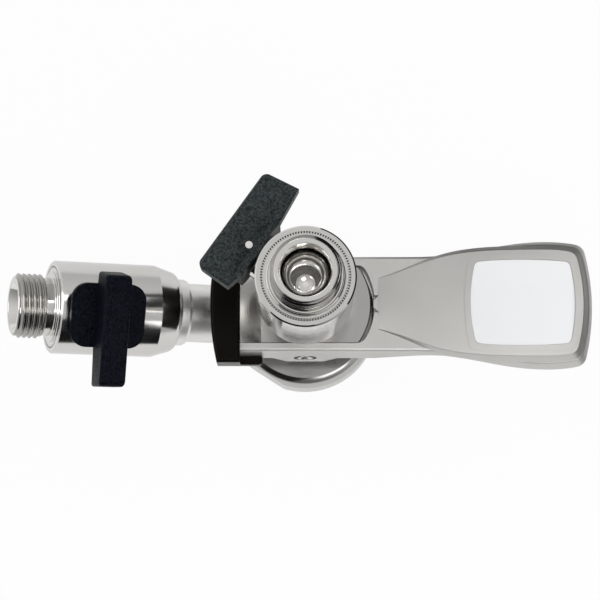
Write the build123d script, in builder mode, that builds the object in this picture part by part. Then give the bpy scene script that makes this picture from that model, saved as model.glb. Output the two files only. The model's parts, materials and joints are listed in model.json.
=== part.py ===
from build123d import *
import math
import os

# Keg coupler with a ball valve on the gas line and one on the beer line.
#
# Millimetres.  The origin is the centre of the face that seats on the keg neck.  +Z runs up
# the probe to the beer outlet, +X runs along the lever to its grip, and the gas line leaves
# towards -X, tilted up.  The lever is drawn pressed down, with the probe pushed out.

# ---- Fits and gaps ------------------------------------------------------------------------
RUNNING = 0.05          # radial clearance of a shaft, spigot or ring in its hole
PASSING = 0.5           # gap between faces that slide or swing past each other
BALL_GAP = 0.15         # gap between a turning ball and its seats
EDGE = 0.6              # small broken edge on turned parts

# ---- Housing ------------------------------------------------------------------------------
SKIRT_R = 32.8          # widest ring of the housing
SKIRT_TOP = 18.0        # height at which the shoulder starts to round in
SHOULDER_TOP = 24.5
SKIRT_EDGE = 2.0        # rounding at the foot of the skirt
SKIRT_FLAT = 31.5       # distance from the axis to the two flats beside the gas boss
SKIRT_FLAT_ANGLE = 57.0
BLOCK_R = 28.6          # upper block, between the lever arms
BLOCK_HALF = 16.3       # half width over the flats of the block
BLOCK_TOP = 55.0
SPIGOT_R = 22.5         # pilot that enters the keg neck
SPIGOT_LENGTH = 15.0
WAIST_R = 22.0          # the spigot is relieved above and beside the lugs
WAIST_FOOT = 0.5        # and this far below them
LUG_REACH = 4.0         # bayonet lugs stand this far out of the spigot
LUG_HEIGHT = 4.0
LUG_DROP = 4.5          # from the keg seat down to the top of a lug
LUG_ANGLE = 52.0
CHAMBER_R = 17.0        # gas space round the probe
CHAMBER_TOP = 15.5
SEAL_R = 20.0           # keg seal, let into the end of the spigot
SEAL_HEIGHT = 6.0
SEAL_PROUD = 1.5
SEAL_HOLE_R = 12.8
SEAL_LIP = 1.2

# ---- Lever hinge and trunnions ------------------------------------------------------------
HINGE_X = -31.5
HINGE_Z = 52.5
HINGE_PIN_R = 3.0
HINGE_LUG_R = 5.5
TRUNNION_R = 3.5
TRUNNION_DROP = 8.0     # trunnions lie this far below the hinge
TRUNNION_PLAY = 0.45    # play of a trunnion in its slot in the lever arm
TRUNNION_RUN = 2.2      # how far a trunnion wanders along that slot as the lever swings
TRUNNION_HALF = 22.6    # half length over the two trunnions
TRUNNION_ROOT = 8.4     # radius at which a trunnion starts inside the probe wall

# ---- Probe --------------------------------------------------------------------------------
PROBE_R = 11.0
BORE_R = 6.2            # beer and gas way through the ball valves
PROBE_DROP = 16.5       # how far the pressed probe stands out below the spigot
TIP_SEAL_HEIGHT = 3.5
TIP_SEAL_R = 10.2
TIP_NECK_R = 8.6
CHECK_BALL_R = 5.8
CHECK_SEAT_R = 4.6
CHECK_ROOM_R = 7.5
CHECK_ROOM_HEIGHT = 19.0
STOP_HEIGHT = 2.0
RING_SECTION_R = 0.8    # O-rings on the probe
RING_SIDES = 6
RING_PITCH = 3.2
RING_TOP_Z = 21.4
NUT_FLATS = 27.0        # locknut under the beer valve
NUT_HEIGHT = 9.0

# ---- Ball valves --------------------------------------------------------------------------
VALVE_R = 20.2
VALVE_TAPER_R = 17.8    # the closed end tapers to this radius,
VALVE_TAPER = 7.7       # over this length,
VALVE_FOOT_R = 15.0     # and rounds in to this one
VALVE_ROUND = 2.9
SOCKET_DEPTH = 11.5     # depth of the socket for the probe or the gas tail
CAVITY_R = 12.3
SEAT_OUT = 12.0         # from the ball centre to the outer face of a seat
SEAT_THICK = 4.8
BALL_R = 10.5
HEAD_R = 17.9           # head of the screwed-in end piece
HEAD_THICK = 4.2
HEAD_GROOVE = 0.35
INSERT_R = 15.0
BOSS_R = 15.5
BOSS_HEIGHT = 0.9
END_NECK_R = 12.6
END_NECK = 4.4
THREAD_R = 14.0         # crest radius of the round thread on the end piece
END_PROJECTION = 17.0   # from the face of the valve to the end of the thread
END_LIP_R = 12.4
MOUTH_R = 10.4
MOUTH_DEPTH = 15.6      # length of the cone that leads into the bore
PAD_R = 9.5             # flat pad under the handle
PAD_TOP = 21.2
STEM_R = 4.5
STEM_FOOT = 9.6         # from the ball centre to the stem's shoulder
TANG_THICK = 3.0
TANG_WIDTH = 8.4
TANG_DEPTH = 1.6
PACKING_R = 6.6
PACKING_FOOT = 15.4
PACKING_THICK = 2.0
GLAND_TOP = 21.8

# ---- Valve handles ------------------------------------------------------------------------
PLATE_FOOT = 22.4       # from the valve axis to the underside of the handle's base plate
PLATE_THICK = 2.8
PLATE_LONG = 32.4       # along the pipe
PLATE_WIDE = 27.5
PLATE_CORNER = 7.0
WING_LONG = 30.7        # from the stem to the long end, at its root
WING_LEAN = 2.5         # the long end leans in by this much up to its top
WING_SHORT = 19.0
WING_THICK = 11.4
WING_TOP = 40.8
WING_CORNER = 3.0
WING_EDGE = 1.6
STEM_TOP = 34.0
GRUB_R = 1.5
GRUB_HEIGHT = 28.2      # from the valve axis to the grub screw

# ---- Where the two valves stand -----------------------------------------------------------
BEER_STEM_Z = 111.0
BEER_TOP = 30.0         # from the stem to the face that holds the end piece
BEER_BOTTOM = 30.0      # from the stem to the start of the taper
BEER_HANDLE_ANGLE = 144.4
GAS_AXIS_Z = 10.0       # where the gas axis meets the probe axis
GAS_TILT = 19.0
GAS_STEM = 97.3         # along the gas axis from the probe axis to the gas valve's stem
GAS_OUTER = 19.4
GAS_INNER = 25.2
GAS_ROLL = 14.0         # the gas valve is screwed on with its stem leaning to one side

# ---- Gas line -----------------------------------------------------------------------------
GAS_BORE_R = 5.0
GAS_BOSS_R = 15.6
GAS_BOSS_END = 40.0
GAS_SOCKET = 30.0       # floor of the socket in the boss
NECK_R = 12.9
COLLAR_R = 14.6
COLLAR = 4.6
LIP_VALVE_R = 8.0
LIP_VALVE_LONG = 8.0
LIP_WALL = 1.2

# ---- Lever --------------------------------------------------------------------------------
ARM_GAP_HALF = 17.0     # inner faces of the arms
ARM_HALF = 20.4         # outer faces of the arms, at their top edge
LEVER_TOP = 58.5
ARM_FOOT = 44.5
CHEEK_FOOT = 38.0       # underside of the cheeks that hold the trunnion slots
PADDLE_FOOT = 50.5
LEVER_DRAFT = 6.5
WINDOW_GAP = 1.4        # from the block to the front of the window between the arms
WINDOW_CORNER = 5.0
THROAT_X = 46.0         # where the sides start to flare
PADDLE_X = 98.0         # widest place
PADDLE_HALF = 25.6
PADDLE_BULGE = 3.6      # how far the rounded end stands out beyond its corners
PADDLE_CORNER_HALF = 23.9
PADDLE_CORNER_R = 5.0
PADDLE_END_X = 122.2
PADDLE_FLARE = 2.8      # the paddle is this much wider all round at its foot
PADDLE_EDGE = 1.2       # rounding of the upper edge of the lever
FOOT_EDGE = 2.0         # rounding of the lower edge of the paddle
PADDLE_WALL = 2.6
CHEEK_HALF = 8.0
CHANNEL_DEPTH = 5.2     # channel of the latch bar and its spring

# ---- Grip cover, label and latch ----------------------------------------------------------
COVER_BACK = 1.5        # from the front of the window to the tip of the cover
COVER_TIP_HALF = 11.2
COVER_THROAT_X = 58.0
COVER_THROAT_HALF = 21.3
CORNER_DRAW = 1.7       # the corners of the cover are drawn in from its widest place
COVER_CORNER_R = 5.0
COVER_SET_IN = 0.3      # the cover is this much narrower than the paddle
COVER_END_GAP = 0.4     # and ends this much before it
COVER_TOP = 64.4
COVER_CROWN_X = 95.0    # highest place of the crown
CROWN_LONG_R = 395.0    # radius of the crown along the grip,
CROWN_WIDE_R = 260.0    # and across it
COVER_LEAN = 3.0        # how far the sides of the cover lean in up to its top
COVER_EDGE = 2.0
FRAME_WIDE = 2.4        # raised frame round the label
FRAME_STEP = 0.4
COVER_WALL = 2.2
HOLLOW_X = 66.0         # the hollow under the cover starts here
LABEL_X = 93.2
LABEL_HALF_LONG = 20.3  # label: half sizes at its corners, and how far its sides bulge
LABEL_HALF_WIDE = 17.6
LABEL_BULGE_LONG = 2.2
LABEL_BULGE_WIDE = 1.1
LABEL_CORNER = 2.6
LABEL_THICK = 0.8
LABEL_FLOOR = 62.4
LATCH_HALF = 3.5
LATCH_NOSE_HALF = 1.3
LATCH_THICK = 4.4
LATCH_GAP = 0.8         # from the block to the nose of the latch bar
LATCH_END_X = 78.0
POST_X = 60.0
POST_R = 2.0
POST_HEIGHT = 2.4
SPRING_R = 1.9
SPRING_WIRE_HALF = 0.35
SPRING_END_X = 106.0
SPRING_TURNS = 4

# ---- Hinge cover --------------------------------------------------------------------------
GUARD_HALF = 25.5
GUARD_FRONT_X = -28.0
GUARD_REAR_X = -40.9
GUARD_SIDE_X = -38.0
GUARD_FOOT_X = -18.5
GUARD_TOP = 61.0
GUARD_BOTTOM = 44.5
GUARD_FOOT_TOP = 50.0
GUARD_EDGE = 1.6

# ---- Derived places -----------------------------------------------------------------------
WINDOW_R = BLOCK_R + WINDOW_GAP
LATCH_NOSE_X = BLOCK_R + LATCH_GAP
PADDLE_CORNER_X = PADDLE_END_X - PADDLE_BULGE
COVER_TIP_X = WINDOW_R + COVER_BACK
COVER_END_X = PADDLE_END_X - COVER_END_GAP
COVER_CORNER_X = COVER_END_X - PADDLE_BULGE
COVER_HALF = PADDLE_HALF - COVER_SET_IN
COVER_CORNER_HALF = COVER_HALF - CORNER_DRAW
TRUNNION_Z = HINGE_Z - TRUNNION_DROP
GUIDE_R = PROBE_R + RUNNING
PROBE_TIP_Z = -SPIGOT_LENGTH - PROBE_DROP
BEER_FOOT_Z = BEER_STEM_Z - BEER_BOTTOM - VALVE_TAPER - VALVE_ROUND
PROBE_TOP_Z = BEER_FOOT_Z + SOCKET_DEPTH
GAS_FOOT = GAS_STEM - GAS_INNER - VALVE_TAPER - VALVE_ROUND
CHECK_FLOOR_Z = PROBE_TIP_Z + TIP_SEAL_HEIGHT + 2 * EDGE
CHECK_CONE = CHECK_ROOM_R - CHECK_SEAT_R
WAIST_Z = -LUG_DROP - LUG_HEIGHT - WAIST_FOOT
LUG_SPREAD = 2 * SPIGOT_R * math.tan(math.radians(LUG_ANGLE / 2))
ARM_END_R = LEVER_TOP - HINGE_Z
LEVER_FLARE = (LEVER_TOP - CHEEK_FOOT) * math.tan(math.radians(LEVER_DRAFT))
ARM_LOW_HALF = ARM_HALF + (LEVER_TOP - GUARD_BOTTOM) * math.tan(math.radians(LEVER_DRAFT))

gas_way = Vector(-math.cos(math.radians(GAS_TILT)), 0, math.sin(math.radians(GAS_TILT)))
gas_up = Vector(math.sin(math.radians(GAS_TILT)), 0, math.cos(math.radians(GAS_TILT)))
beer_side = Vector(math.cos(math.radians(BEER_HANDLE_ANGLE)), math.sin(math.radians(BEER_HANDLE_ANGLE)), 0)

# Planes whose z runs along a line's flow and whose x runs along the valve's stem.
gas_line = Plane(origin=(0, 0, GAS_AXIS_Z), x_dir=gas_up, z_dir=gas_way)
gas_flow = Plane(origin=gas_line.offset(GAS_STEM).origin, z_dir=gas_way,
                 x_dir=gas_up.rotate(Axis((0, 0, 0), gas_way), -GAS_ROLL))
beer_flow = Plane(origin=(0, 0, BEER_STEM_Z), x_dir=beer_side, z_dir=(0, 0, 1))

os.makedirs("parts", exist_ok=True)


def save(piece, name):
    """Label one finished piece and write its STEP file."""
    piece.label = name
    export_step(piece, f"parts/{name}.step")


def section(flow):
    """Plane through the flow axis: sketch x is the radius, sketch y is the height."""
    return Plane(origin=flow.origin, x_dir=flow.x_dir, z_dir=-flow.y_dir)


def axis_of(flow):
    """The flow axis, for turned shapes."""
    return Axis(flow.origin, flow.z_dir)


def stem_plane(flow, distance):
    """Plane square to the stem: sketch x is across the pipe, sketch y is along the flow."""
    return Plane(origin=flow.origin + flow.x_dir * distance, x_dir=flow.y_dir, z_dir=flow.x_dir)


# ---- Housing: turned skirt and spigot, block with flats, hinge lug, gas boss ---------------
with BuildPart() as housing:
    with BuildSketch(Plane.XZ):
        with BuildLine():
            foot = Polyline((0, 0), (0, -SPIGOT_LENGTH), (SPIGOT_R - EDGE, -SPIGOT_LENGTH),
                            (SPIGOT_R, EDGE - SPIGOT_LENGTH), (SPIGOT_R, WAIST_Z), (WAIST_R, WAIST_Z),
                            (WAIST_R, 0), (SKIRT_R - SKIRT_EDGE, 0))
            rim = TangentArc(foot @ 1, (SKIRT_R, SKIRT_EDGE), tangent=(1, 0))
            side = Line(rim @ 1, (SKIRT_R, SKIRT_TOP))
            shoulder = TangentArc(side @ 1, (BLOCK_R, SHOULDER_TOP), tangent=(0, 1))
            Polyline(shoulder @ 1, (BLOCK_R, BLOCK_TOP - EDGE), (BLOCK_R - EDGE, BLOCK_TOP),
                     (0, BLOCK_TOP), (0, 0))
        make_face()
    revolve(axis=Axis.Z)
    # flats of the block, where the lever arms run
    with BuildSketch(Plane.XY.offset(SHOULDER_TOP)):
        Circle(2 * BLOCK_R)
        Rectangle(4 * BLOCK_R, 2 * BLOCK_HALF, mode=Mode.SUBTRACT)
    extrude(amount=BLOCK_TOP, mode=Mode.SUBTRACT)
    # flats on the skirt, one each side of the gas boss
    with BuildSketch(Plane.XY):
        with PolarLocations(SKIRT_R + SKIRT_FLAT / 2, 2, start_angle=180 - SKIRT_FLAT_ANGLE,
                            angular_range=2 * SKIRT_FLAT_ANGLE, endpoint=True):
            Rectangle(2 * SKIRT_R - SKIRT_FLAT, 2 * SKIRT_R)
    extrude(amount=SHOULDER_TOP, mode=Mode.SUBTRACT)
    # bayonet lugs on the spigot
    with BuildSketch(Plane.XY.offset(-LUG_DROP)):
        Circle(SPIGOT_R + LUG_REACH)
        Circle(SPIGOT_R - LUG_REACH, mode=Mode.SUBTRACT)
        with BuildSketch(mode=Mode.INTERSECT):
            with PolarLocations(0, 2):
                Polygon((0, 0), (2 * SPIGOT_R, -LUG_SPREAD), (2 * SPIGOT_R, LUG_SPREAD), align=None)
    extrude(amount=-LUG_HEIGHT)
    # hinge lug at the back of the block
    with BuildSketch(Plane.XZ):
        with Locations((HINGE_X, HINGE_Z)):
            Circle(HINGE_LUG_R)
        with Locations((-BLOCK_R / 2, HINGE_Z - HINGE_LUG_R)):
            Rectangle(HINGE_LUG_R, 2 * HINGE_LUG_R + 2 * EDGE)
        make_hull()
    extrude(amount=BLOCK_HALF, both=True)
    # gas boss
    with BuildSketch(section(gas_line)):
        with BuildLine():
            Polyline((0, CHAMBER_R + EDGE), (GAS_BOSS_R, CHAMBER_R + EDGE),
                     (GAS_BOSS_R, GAS_BOSS_END - 2 * EDGE), (GAS_BOSS_R - 2 * EDGE, GAS_BOSS_END),
                     (0, GAS_BOSS_END), (0, CHAMBER_R + EDGE))
        make_face()
    revolve(axis=axis_of(gas_line))
    # gas space, probe guide and seat of the keg seal
    with BuildSketch(Plane.XY.offset(-SPIGOT_LENGTH)):
        Circle(SEAL_R + RUNNING)
    extrude(amount=SEAL_HEIGHT - SEAL_PROUD, mode=Mode.SUBTRACT)
    with BuildSketch(Plane.XY.offset(-SPIGOT_LENGTH)):
        Circle(CHAMBER_R)
    extrude(amount=SPIGOT_LENGTH + CHAMBER_TOP, mode=Mode.SUBTRACT)
    with BuildSketch(Plane.XY):
        Circle(GUIDE_R)
    extrude(amount=2 * BLOCK_TOP, mode=Mode.SUBTRACT)
    # gas way and the socket of the gas tail
    with BuildSketch(gas_line.offset(CHAMBER_R - 2 * EDGE)):
        Circle(GAS_BORE_R)
    extrude(amount=GAS_BOSS_END, mode=Mode.SUBTRACT)
    with BuildSketch(gas_line.offset(GAS_SOCKET)):
        Circle(NECK_R + RUNNING)
    extrude(amount=GAS_BOSS_END, mode=Mode.SUBTRACT)
    # hinge hole and the open slots in which the trunnions rise
    with BuildSketch(Plane.XZ):
        with Locations((HINGE_X, HINGE_Z)):
            Circle(HINGE_PIN_R + RUNNING)
        with Locations((0, TRUNNION_Z)):
            Circle(TRUNNION_R + PASSING)
        with Locations((0, TRUNNION_Z + BLOCK_TOP / 2)):
            Rectangle(2 * (TRUNNION_R + PASSING), BLOCK_TOP)
    extrude(amount=2 * BLOCK_HALF, both=True, mode=Mode.SUBTRACT)
save(housing.part, "housing")

# ---- Keg seal: rubber ring in the end of the spigot ----------------------------------------
with BuildPart() as keg_seal:
    with BuildSketch(Plane.XZ):
        with BuildLine():
            top = SEAL_HEIGHT - SEAL_PROUD - SPIGOT_LENGTH
            bottom = -SPIGOT_LENGTH - SEAL_PROUD
            Polyline((SEAL_HOLE_R + SEAL_LIP, top), (SEAL_R, top), (SEAL_R, -SPIGOT_LENGTH),
                     (SEAL_R - SEAL_LIP, bottom), (SEAL_HOLE_R, bottom),
                     (SEAL_HOLE_R, bottom + SEAL_HEIGHT / 2), (SEAL_HOLE_R + SEAL_LIP, top))
        make_face()
    revolve(axis=Axis.Z)
save(keg_seal.part, "keg_seal")

# ---- Hinge pin -----------------------------------------------------------------------------
with BuildPart() as hinge_pin:
    with BuildSketch(Plane.XZ):
        with Locations((HINGE_X, HINGE_Z)):
            Circle(HINGE_PIN_R)
    extrude(amount=GUARD_HALF - GUARD_EDGE, both=True)
    chamfer(hinge_pin.edges().filter_by(GeomType.CIRCLE), EDGE / 2)
save(hinge_pin.part, "hinge_pin")

# ---- Gas tail: neck and collar between the boss and the gas valve ---------------------------
with BuildPart() as gas_tail:
    with BuildSketch(section(gas_line)):
        with BuildLine():
            Polyline((GAS_BORE_R, GAS_SOCKET + LIP_VALVE_LONG),
                     (LIP_VALVE_R + RUNNING, GAS_SOCKET + LIP_VALVE_LONG),
                     (LIP_VALVE_R + RUNNING, GAS_SOCKET), (NECK_R, GAS_SOCKET),
                     (NECK_R, GAS_FOOT - COLLAR), (COLLAR_R - EDGE, GAS_FOOT - COLLAR),
                     (COLLAR_R, GAS_FOOT - COLLAR + 2 * EDGE), (COLLAR_R, GAS_FOOT), (PROBE_R, GAS_FOOT),
                     (PROBE_R, GAS_FOOT + SOCKET_DEPTH), (GAS_BORE_R, GAS_FOOT + SOCKET_DEPTH),
                     (GAS_BORE_R, GAS_SOCKET + LIP_VALVE_LONG))
        make_face()
    revolve(axis=axis_of(gas_line))
save(gas_tail.part, "gas_tail")

# ---- Gas lip valve: rubber duckbill that lets gas in and keeps beer out ---------------------
with BuildPart() as lip_valve:
    with BuildSketch(section(gas_line)):
        with BuildLine():
            end = GAS_SOCKET + LIP_VALVE_LONG
            Polyline((GAS_BORE_R, end), (LIP_VALVE_R, end), (LIP_VALVE_R, end - 2 * LIP_WALL),
                     (GAS_BORE_R + LIP_WALL, end - 2 * LIP_WALL), (2 * LIP_WALL, GAS_SOCKET + LIP_WALL),
                     (LIP_WALL / 2, GAS_SOCKET + LIP_WALL), (GAS_BORE_R, end - LIP_WALL), (GAS_BORE_R, end))
        make_face()
    revolve(axis=axis_of(gas_line))
save(lip_valve.part, "gas_lip_valve")

# ---- Probe: tube with check-ball room, ring grooves and trunnion holes ----------------------
with BuildPart() as probe:
    with BuildSketch(Plane.XZ):
        with BuildLine():
            neck = PROBE_TIP_Z + TIP_SEAL_HEIGHT
            room = CHECK_FLOOR_Z + CHECK_CONE
            roof = room + CHECK_ROOM_HEIGHT
            Polyline((CHECK_SEAT_R, PROBE_TIP_Z + EDGE), (TIP_NECK_R, PROBE_TIP_Z + EDGE),
                     (TIP_NECK_R, neck), (PROBE_R - EDGE, neck), (PROBE_R, neck + EDGE),
                     (PROBE_R, PROBE_TOP_Z),
                     (BORE_R, PROBE_TOP_Z), (BORE_R, roof), (CHECK_ROOM_R, roof), (CHECK_ROOM_R, room),
                     (CHECK_SEAT_R, CHECK_FLOOR_Z), (CHECK_SEAT_R, PROBE_TIP_Z + EDGE))
        make_face()
        for ring in range(2):
            with Locations((PROBE_R, RING_TOP_Z - ring * RING_PITCH)):
                Rectangle(4 * RING_SECTION_R, 2 * RING_SECTION_R + 2 * RUNNING, mode=Mode.SUBTRACT)
    revolve(axis=Axis.Z)
    for side_y in (-1, 1):
        with BuildSketch(Plane.XZ.offset(side_y * TRUNNION_ROOT)):
            with Locations((0, TRUNNION_Z)):
                Circle(TRUNNION_R + RUNNING)
        extrude(amount=side_y * PROBE_R, mode=Mode.SUBTRACT)
save(probe.part, "probe")

# ---- Trunnions: two pins that carry the probe in the lever's slots ---------------------------
with BuildPart() as trunnions:
    for side_y in (-1, 1):
        with BuildSketch(Plane.XZ.offset(side_y * TRUNNION_ROOT)):
            with Locations((0, TRUNNION_Z)):
                Circle(TRUNNION_R)
        extrude(amount=side_y * (TRUNNION_HALF - TRUNNION_ROOT))
    chamfer(trunnions.edges().filter_by(GeomType.CIRCLE).group_by(Axis.Y)[0], EDGE)
    chamfer(trunnions.edges().filter_by(GeomType.CIRCLE).group_by(Axis.Y)[-1], EDGE)
save(trunnions.part, "trunnion_pins")

# ---- O-rings on the probe --------------------------------------------------------------------
with BuildPart() as probe_rings:
    with BuildSketch(Plane.XZ):
        for ring in range(2):
            with Locations((PROBE_R - RING_SECTION_R, RING_TOP_Z - ring * RING_PITCH)):
                RegularPolygon(RING_SECTION_R, RING_SIDES)
    revolve(axis=Axis.Z)
save(probe_rings.part, "probe_o_rings")

# ---- Tip seal: rubber ring on the end of the probe ---------------------------------------------
with BuildPart() as tip_seal:
    with BuildSketch(Plane.XZ):
        with BuildLine():
            neck = PROBE_TIP_Z + TIP_SEAL_HEIGHT
            Polyline((TIP_NECK_R + RUNNING, neck), (TIP_SEAL_R, neck), (TIP_SEAL_R, PROBE_TIP_Z + EDGE),
                     (TIP_SEAL_R - EDGE, PROBE_TIP_Z), (TIP_NECK_R + RUNNING, PROBE_TIP_Z),
                     (TIP_NECK_R + RUNNING, neck))
        make_face()
    revolve(axis=Axis.Z)
save(tip_seal.part, "probe_tip_seal")

# ---- Check ball and the stop above it ----------------------------------------------------------
with BuildPart() as check_ball:
    # the ball rests on the 45 degree cone of the probe, one ball gap above it
    ball_z = CHECK_FLOOR_Z - CHECK_SEAT_R + (CHECK_BALL_R + BALL_GAP) * math.sqrt(2)
    with Locations((0, 0, ball_z)):
        Sphere(CHECK_BALL_R)
save(check_ball.part, "check_ball")

with BuildPart() as ball_stop:
    stop_top = CHECK_FLOOR_Z + CHECK_CONE + CHECK_ROOM_HEIGHT
    with BuildSketch(Plane.XY.offset(stop_top - STOP_HEIGHT)):
        Circle(CHECK_ROOM_R - RUNNING)
        Circle(BORE_R - EDGE, mode=Mode.SUBTRACT)
        for turn in (0, 60, 120):
            with Locations(Rotation(0, 0, turn)):
                Rectangle(2 * (CHECK_ROOM_R - EDGE), 2 * EDGE)
    extrude(amount=STOP_HEIGHT)
save(ball_stop.part, "ball_stop")

# ---- Locknut between the probe and the beer valve ------------------------------------------------
with BuildPart() as locknut:
    with BuildSketch(Plane.XY.offset(BEER_FOOT_Z - NUT_HEIGHT)):
        RegularPolygon(NUT_FLATS / 2, 6, major_radius=False, rotation=30)
        Circle(GUIDE_R, mode=Mode.SUBTRACT)
    extrude(amount=NUT_HEIGHT)
save(locknut.part, "probe_locknut")


# ---- Ball valve pieces, made once for each line ----------------------------------------------------
def valve_body(flow, top, bottom):
    """Turned body: open end at +top for the end piece, tapered foot with a socket below."""
    foot = -bottom - VALVE_TAPER - VALVE_ROUND
    with BuildPart() as body:
        with BuildSketch(section(flow)):
            with BuildLine():
                outside = Polyline((PROBE_R + RUNNING, foot), (VALVE_FOOT_R, foot))
                bend = TangentArc((VALVE_TAPER_R, -bottom - VALVE_TAPER), outside @ 1,
                                  tangent=(VALVE_TAPER_R - VALVE_R, -VALVE_TAPER))
                Polyline(bend @ 0, (VALVE_R, -bottom), (VALVE_R, top - EDGE), (VALVE_R - EDGE, top),
                         (HEAD_R + RUNNING, top), (HEAD_R + RUNNING, top - HEAD_THICK),
                         (INSERT_R + RUNNING, top - HEAD_THICK), (INSERT_R + RUNNING, SEAT_OUT),
                         (CAVITY_R, SEAT_OUT), (CAVITY_R, -SEAT_OUT), (BORE_R, -SEAT_OUT),
                         (BORE_R, foot + SOCKET_DEPTH), (PROBE_R + RUNNING, foot + SOCKET_DEPTH),
                         outside @ 0)
            make_face()
        revolve(axis=axis_of(flow))
        with BuildSketch(stem_plane(flow, CAVITY_R + EDGE)):
            Circle(PAD_R)
        extrude(amount=PAD_TOP - CAVITY_R - EDGE)
        with BuildSketch(stem_plane(flow, BALL_R)):
            Circle(STEM_R + RUNNING)
        extrude(amount=PAD_TOP, mode=Mode.SUBTRACT)
        with BuildSketch(stem_plane(flow, PACKING_FOOT)):
            Circle(PACKING_R + RUNNING)
        extrude(amount=PAD_TOP, mode=Mode.SUBTRACT)
    return body.part


def valve_end(flow, top):
    """Screwed-in end piece: head, boss, neck, blank of the round thread and coned mouth."""
    tip = top + END_PROJECTION
    with BuildPart() as end:
        with BuildSketch(section(flow)):
            with BuildLine():
                Polyline((BORE_R, SEAT_OUT), (INSERT_R, SEAT_OUT), (INSERT_R, top - HEAD_THICK),
                         (HEAD_R, top - HEAD_THICK), (HEAD_R, top - HEAD_GROOVE),
                         (HEAD_R - HEAD_GROOVE, top), (BOSS_R, top), (BOSS_R, top + BOSS_HEIGHT),
                         (END_NECK_R, top + BOSS_HEIGHT), (END_NECK_R, top + END_NECK),
                         (THREAD_R, top + END_NECK + THREAD_R - END_NECK_R),
                         (THREAD_R, tip - THREAD_R + END_LIP_R), (END_LIP_R, tip), (MOUTH_R, tip),
                         (BORE_R, tip - MOUTH_DEPTH), (BORE_R, SEAT_OUT))
            make_face()
        revolve(axis=axis_of(flow))
    return end.part


def valve_seat(flow, side):
    """PTFE ring on one side of the ball, hollowed to the ball's form."""
    inner = side * (SEAT_OUT - SEAT_THICK)
    outer = side * SEAT_OUT
    with BuildPart() as seat:
        with BuildSketch(section(flow)):
            with BuildLine():
                Polyline((BORE_R, inner), (CAVITY_R - RUNNING, inner), (CAVITY_R - RUNNING, outer),
                         (BORE_R, outer), (BORE_R, inner))
            make_face()
            Circle(BALL_R + BALL_GAP, mode=Mode.SUBTRACT)
        revolve(axis=axis_of(flow))
    return seat.part


def valve_ball(flow):
    """Ball with its bore across the pipe, which shuts the valve, and a slot for the stem."""
    with BuildPart() as ball:
        with BuildSketch(section(flow)):
            Circle(BALL_R)
            with Locations((-BALL_R, 0)):
                Rectangle(2 * BALL_R, 2 * BALL_R, mode=Mode.SUBTRACT)
        revolve(axis=axis_of(flow))
        with BuildSketch(Plane(origin=flow.origin, x_dir=flow.x_dir, z_dir=flow.y_dir)):
            Circle(BORE_R)
        extrude(amount=BALL_R, both=True, mode=Mode.SUBTRACT)
        with BuildSketch(stem_plane(flow, STEM_FOOT - TANG_DEPTH)):
            Rectangle(TANG_THICK, 2 * BALL_R)
        extrude(amount=BALL_R, mode=Mode.SUBTRACT)
    return ball.part


def valve_stem(flow):
    """Stem with a tang in the ball's slot below and two flats in the handle above."""
    with BuildPart() as stem:
        with BuildSketch(stem_plane(flow, BALL_R + BALL_GAP)):
            Circle(STEM_R)
        extrude(amount=STEM_TOP - BALL_R - BALL_GAP)
        with BuildSketch(stem_plane(flow, STEM_FOOT - TANG_DEPTH)):
            Rectangle(TANG_THICK, TANG_WIDTH)
        extrude(amount=BALL_R + BALL_GAP - STEM_FOOT + TANG_DEPTH)
    return stem.part


def ring(plane, outer, inner, height):
    """Plain ring standing on a plane."""
    with BuildPart() as washer:
        with BuildSketch(plane):
            Circle(outer)
            Circle(inner, mode=Mode.SUBTRACT)
        extrude(amount=height)
    return washer.part


def valve_handle(flow):
    """Moulded handle: base plate on the pad, long wing across it, socket for the stem."""
    with BuildPart() as handle:
        # the wing's side outline: sketch x across the pipe, sketch y away from the valve
        with BuildSketch(Plane(origin=flow.origin, x_dir=flow.y_dir, z_dir=-flow.z_dir)):
            with BuildLine():
                root = Polyline((-WING_LONG, PLATE_FOOT + PLATE_THICK), (WING_LEAN - WING_LONG, WING_TOP),
                                (WING_SHORT, WING_TOP), (WING_SHORT, PLATE_FOOT + PLATE_THICK),
                                (PLATE_WIDE / 2 - PLATE_CORNER, PLATE_FOOT),
                                (PLATE_CORNER - PLATE_WIDE / 2, PLATE_FOOT),
                                (-WING_LONG, PLATE_FOOT + PLATE_THICK))
            make_face()
        extrude(amount=WING_THICK / 2, both=True)
        ends = handle.edges().filter_by(Axis(flow.origin, flow.z_dir))
        fillet(ends.group_by(Axis(flow.origin, flow.x_dir))[-1], WING_CORNER)
        fillet(handle.faces().filter_by(Axis(flow.origin, flow.z_dir)).edges(), WING_EDGE)
        with BuildSketch(stem_plane(flow, PLATE_FOOT)):
            RectangleRounded(PLATE_WIDE, PLATE_LONG, PLATE_CORNER)
        extrude(amount=PLATE_THICK)
        with BuildSketch(stem_plane(flow, PLATE_FOOT)):
            Circle(STEM_R + RUNNING)
        extrude(amount=STEM_TOP + RUNNING - PLATE_FOOT, mode=Mode.SUBTRACT)
        with BuildSketch(flow):
            with Locations((GRUB_HEIGHT, 0)):
                Circle(GRUB_R + RUNNING)
        extrude(amount=WING_THICK, mode=Mode.SUBTRACT)
    return handle.part


def grub_screw(flow):
    """Small screw in the side of the wing that holds the handle on its stem."""
    with BuildPart() as grub:
        with BuildSketch(flow.offset(STEM_R + RUNNING)):
            with Locations((GRUB_HEIGHT, 0)):
                Circle(GRUB_R)
        extrude(amount=WING_THICK / 2 - STEM_R - 2 * RUNNING)
    return grub.part


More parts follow.
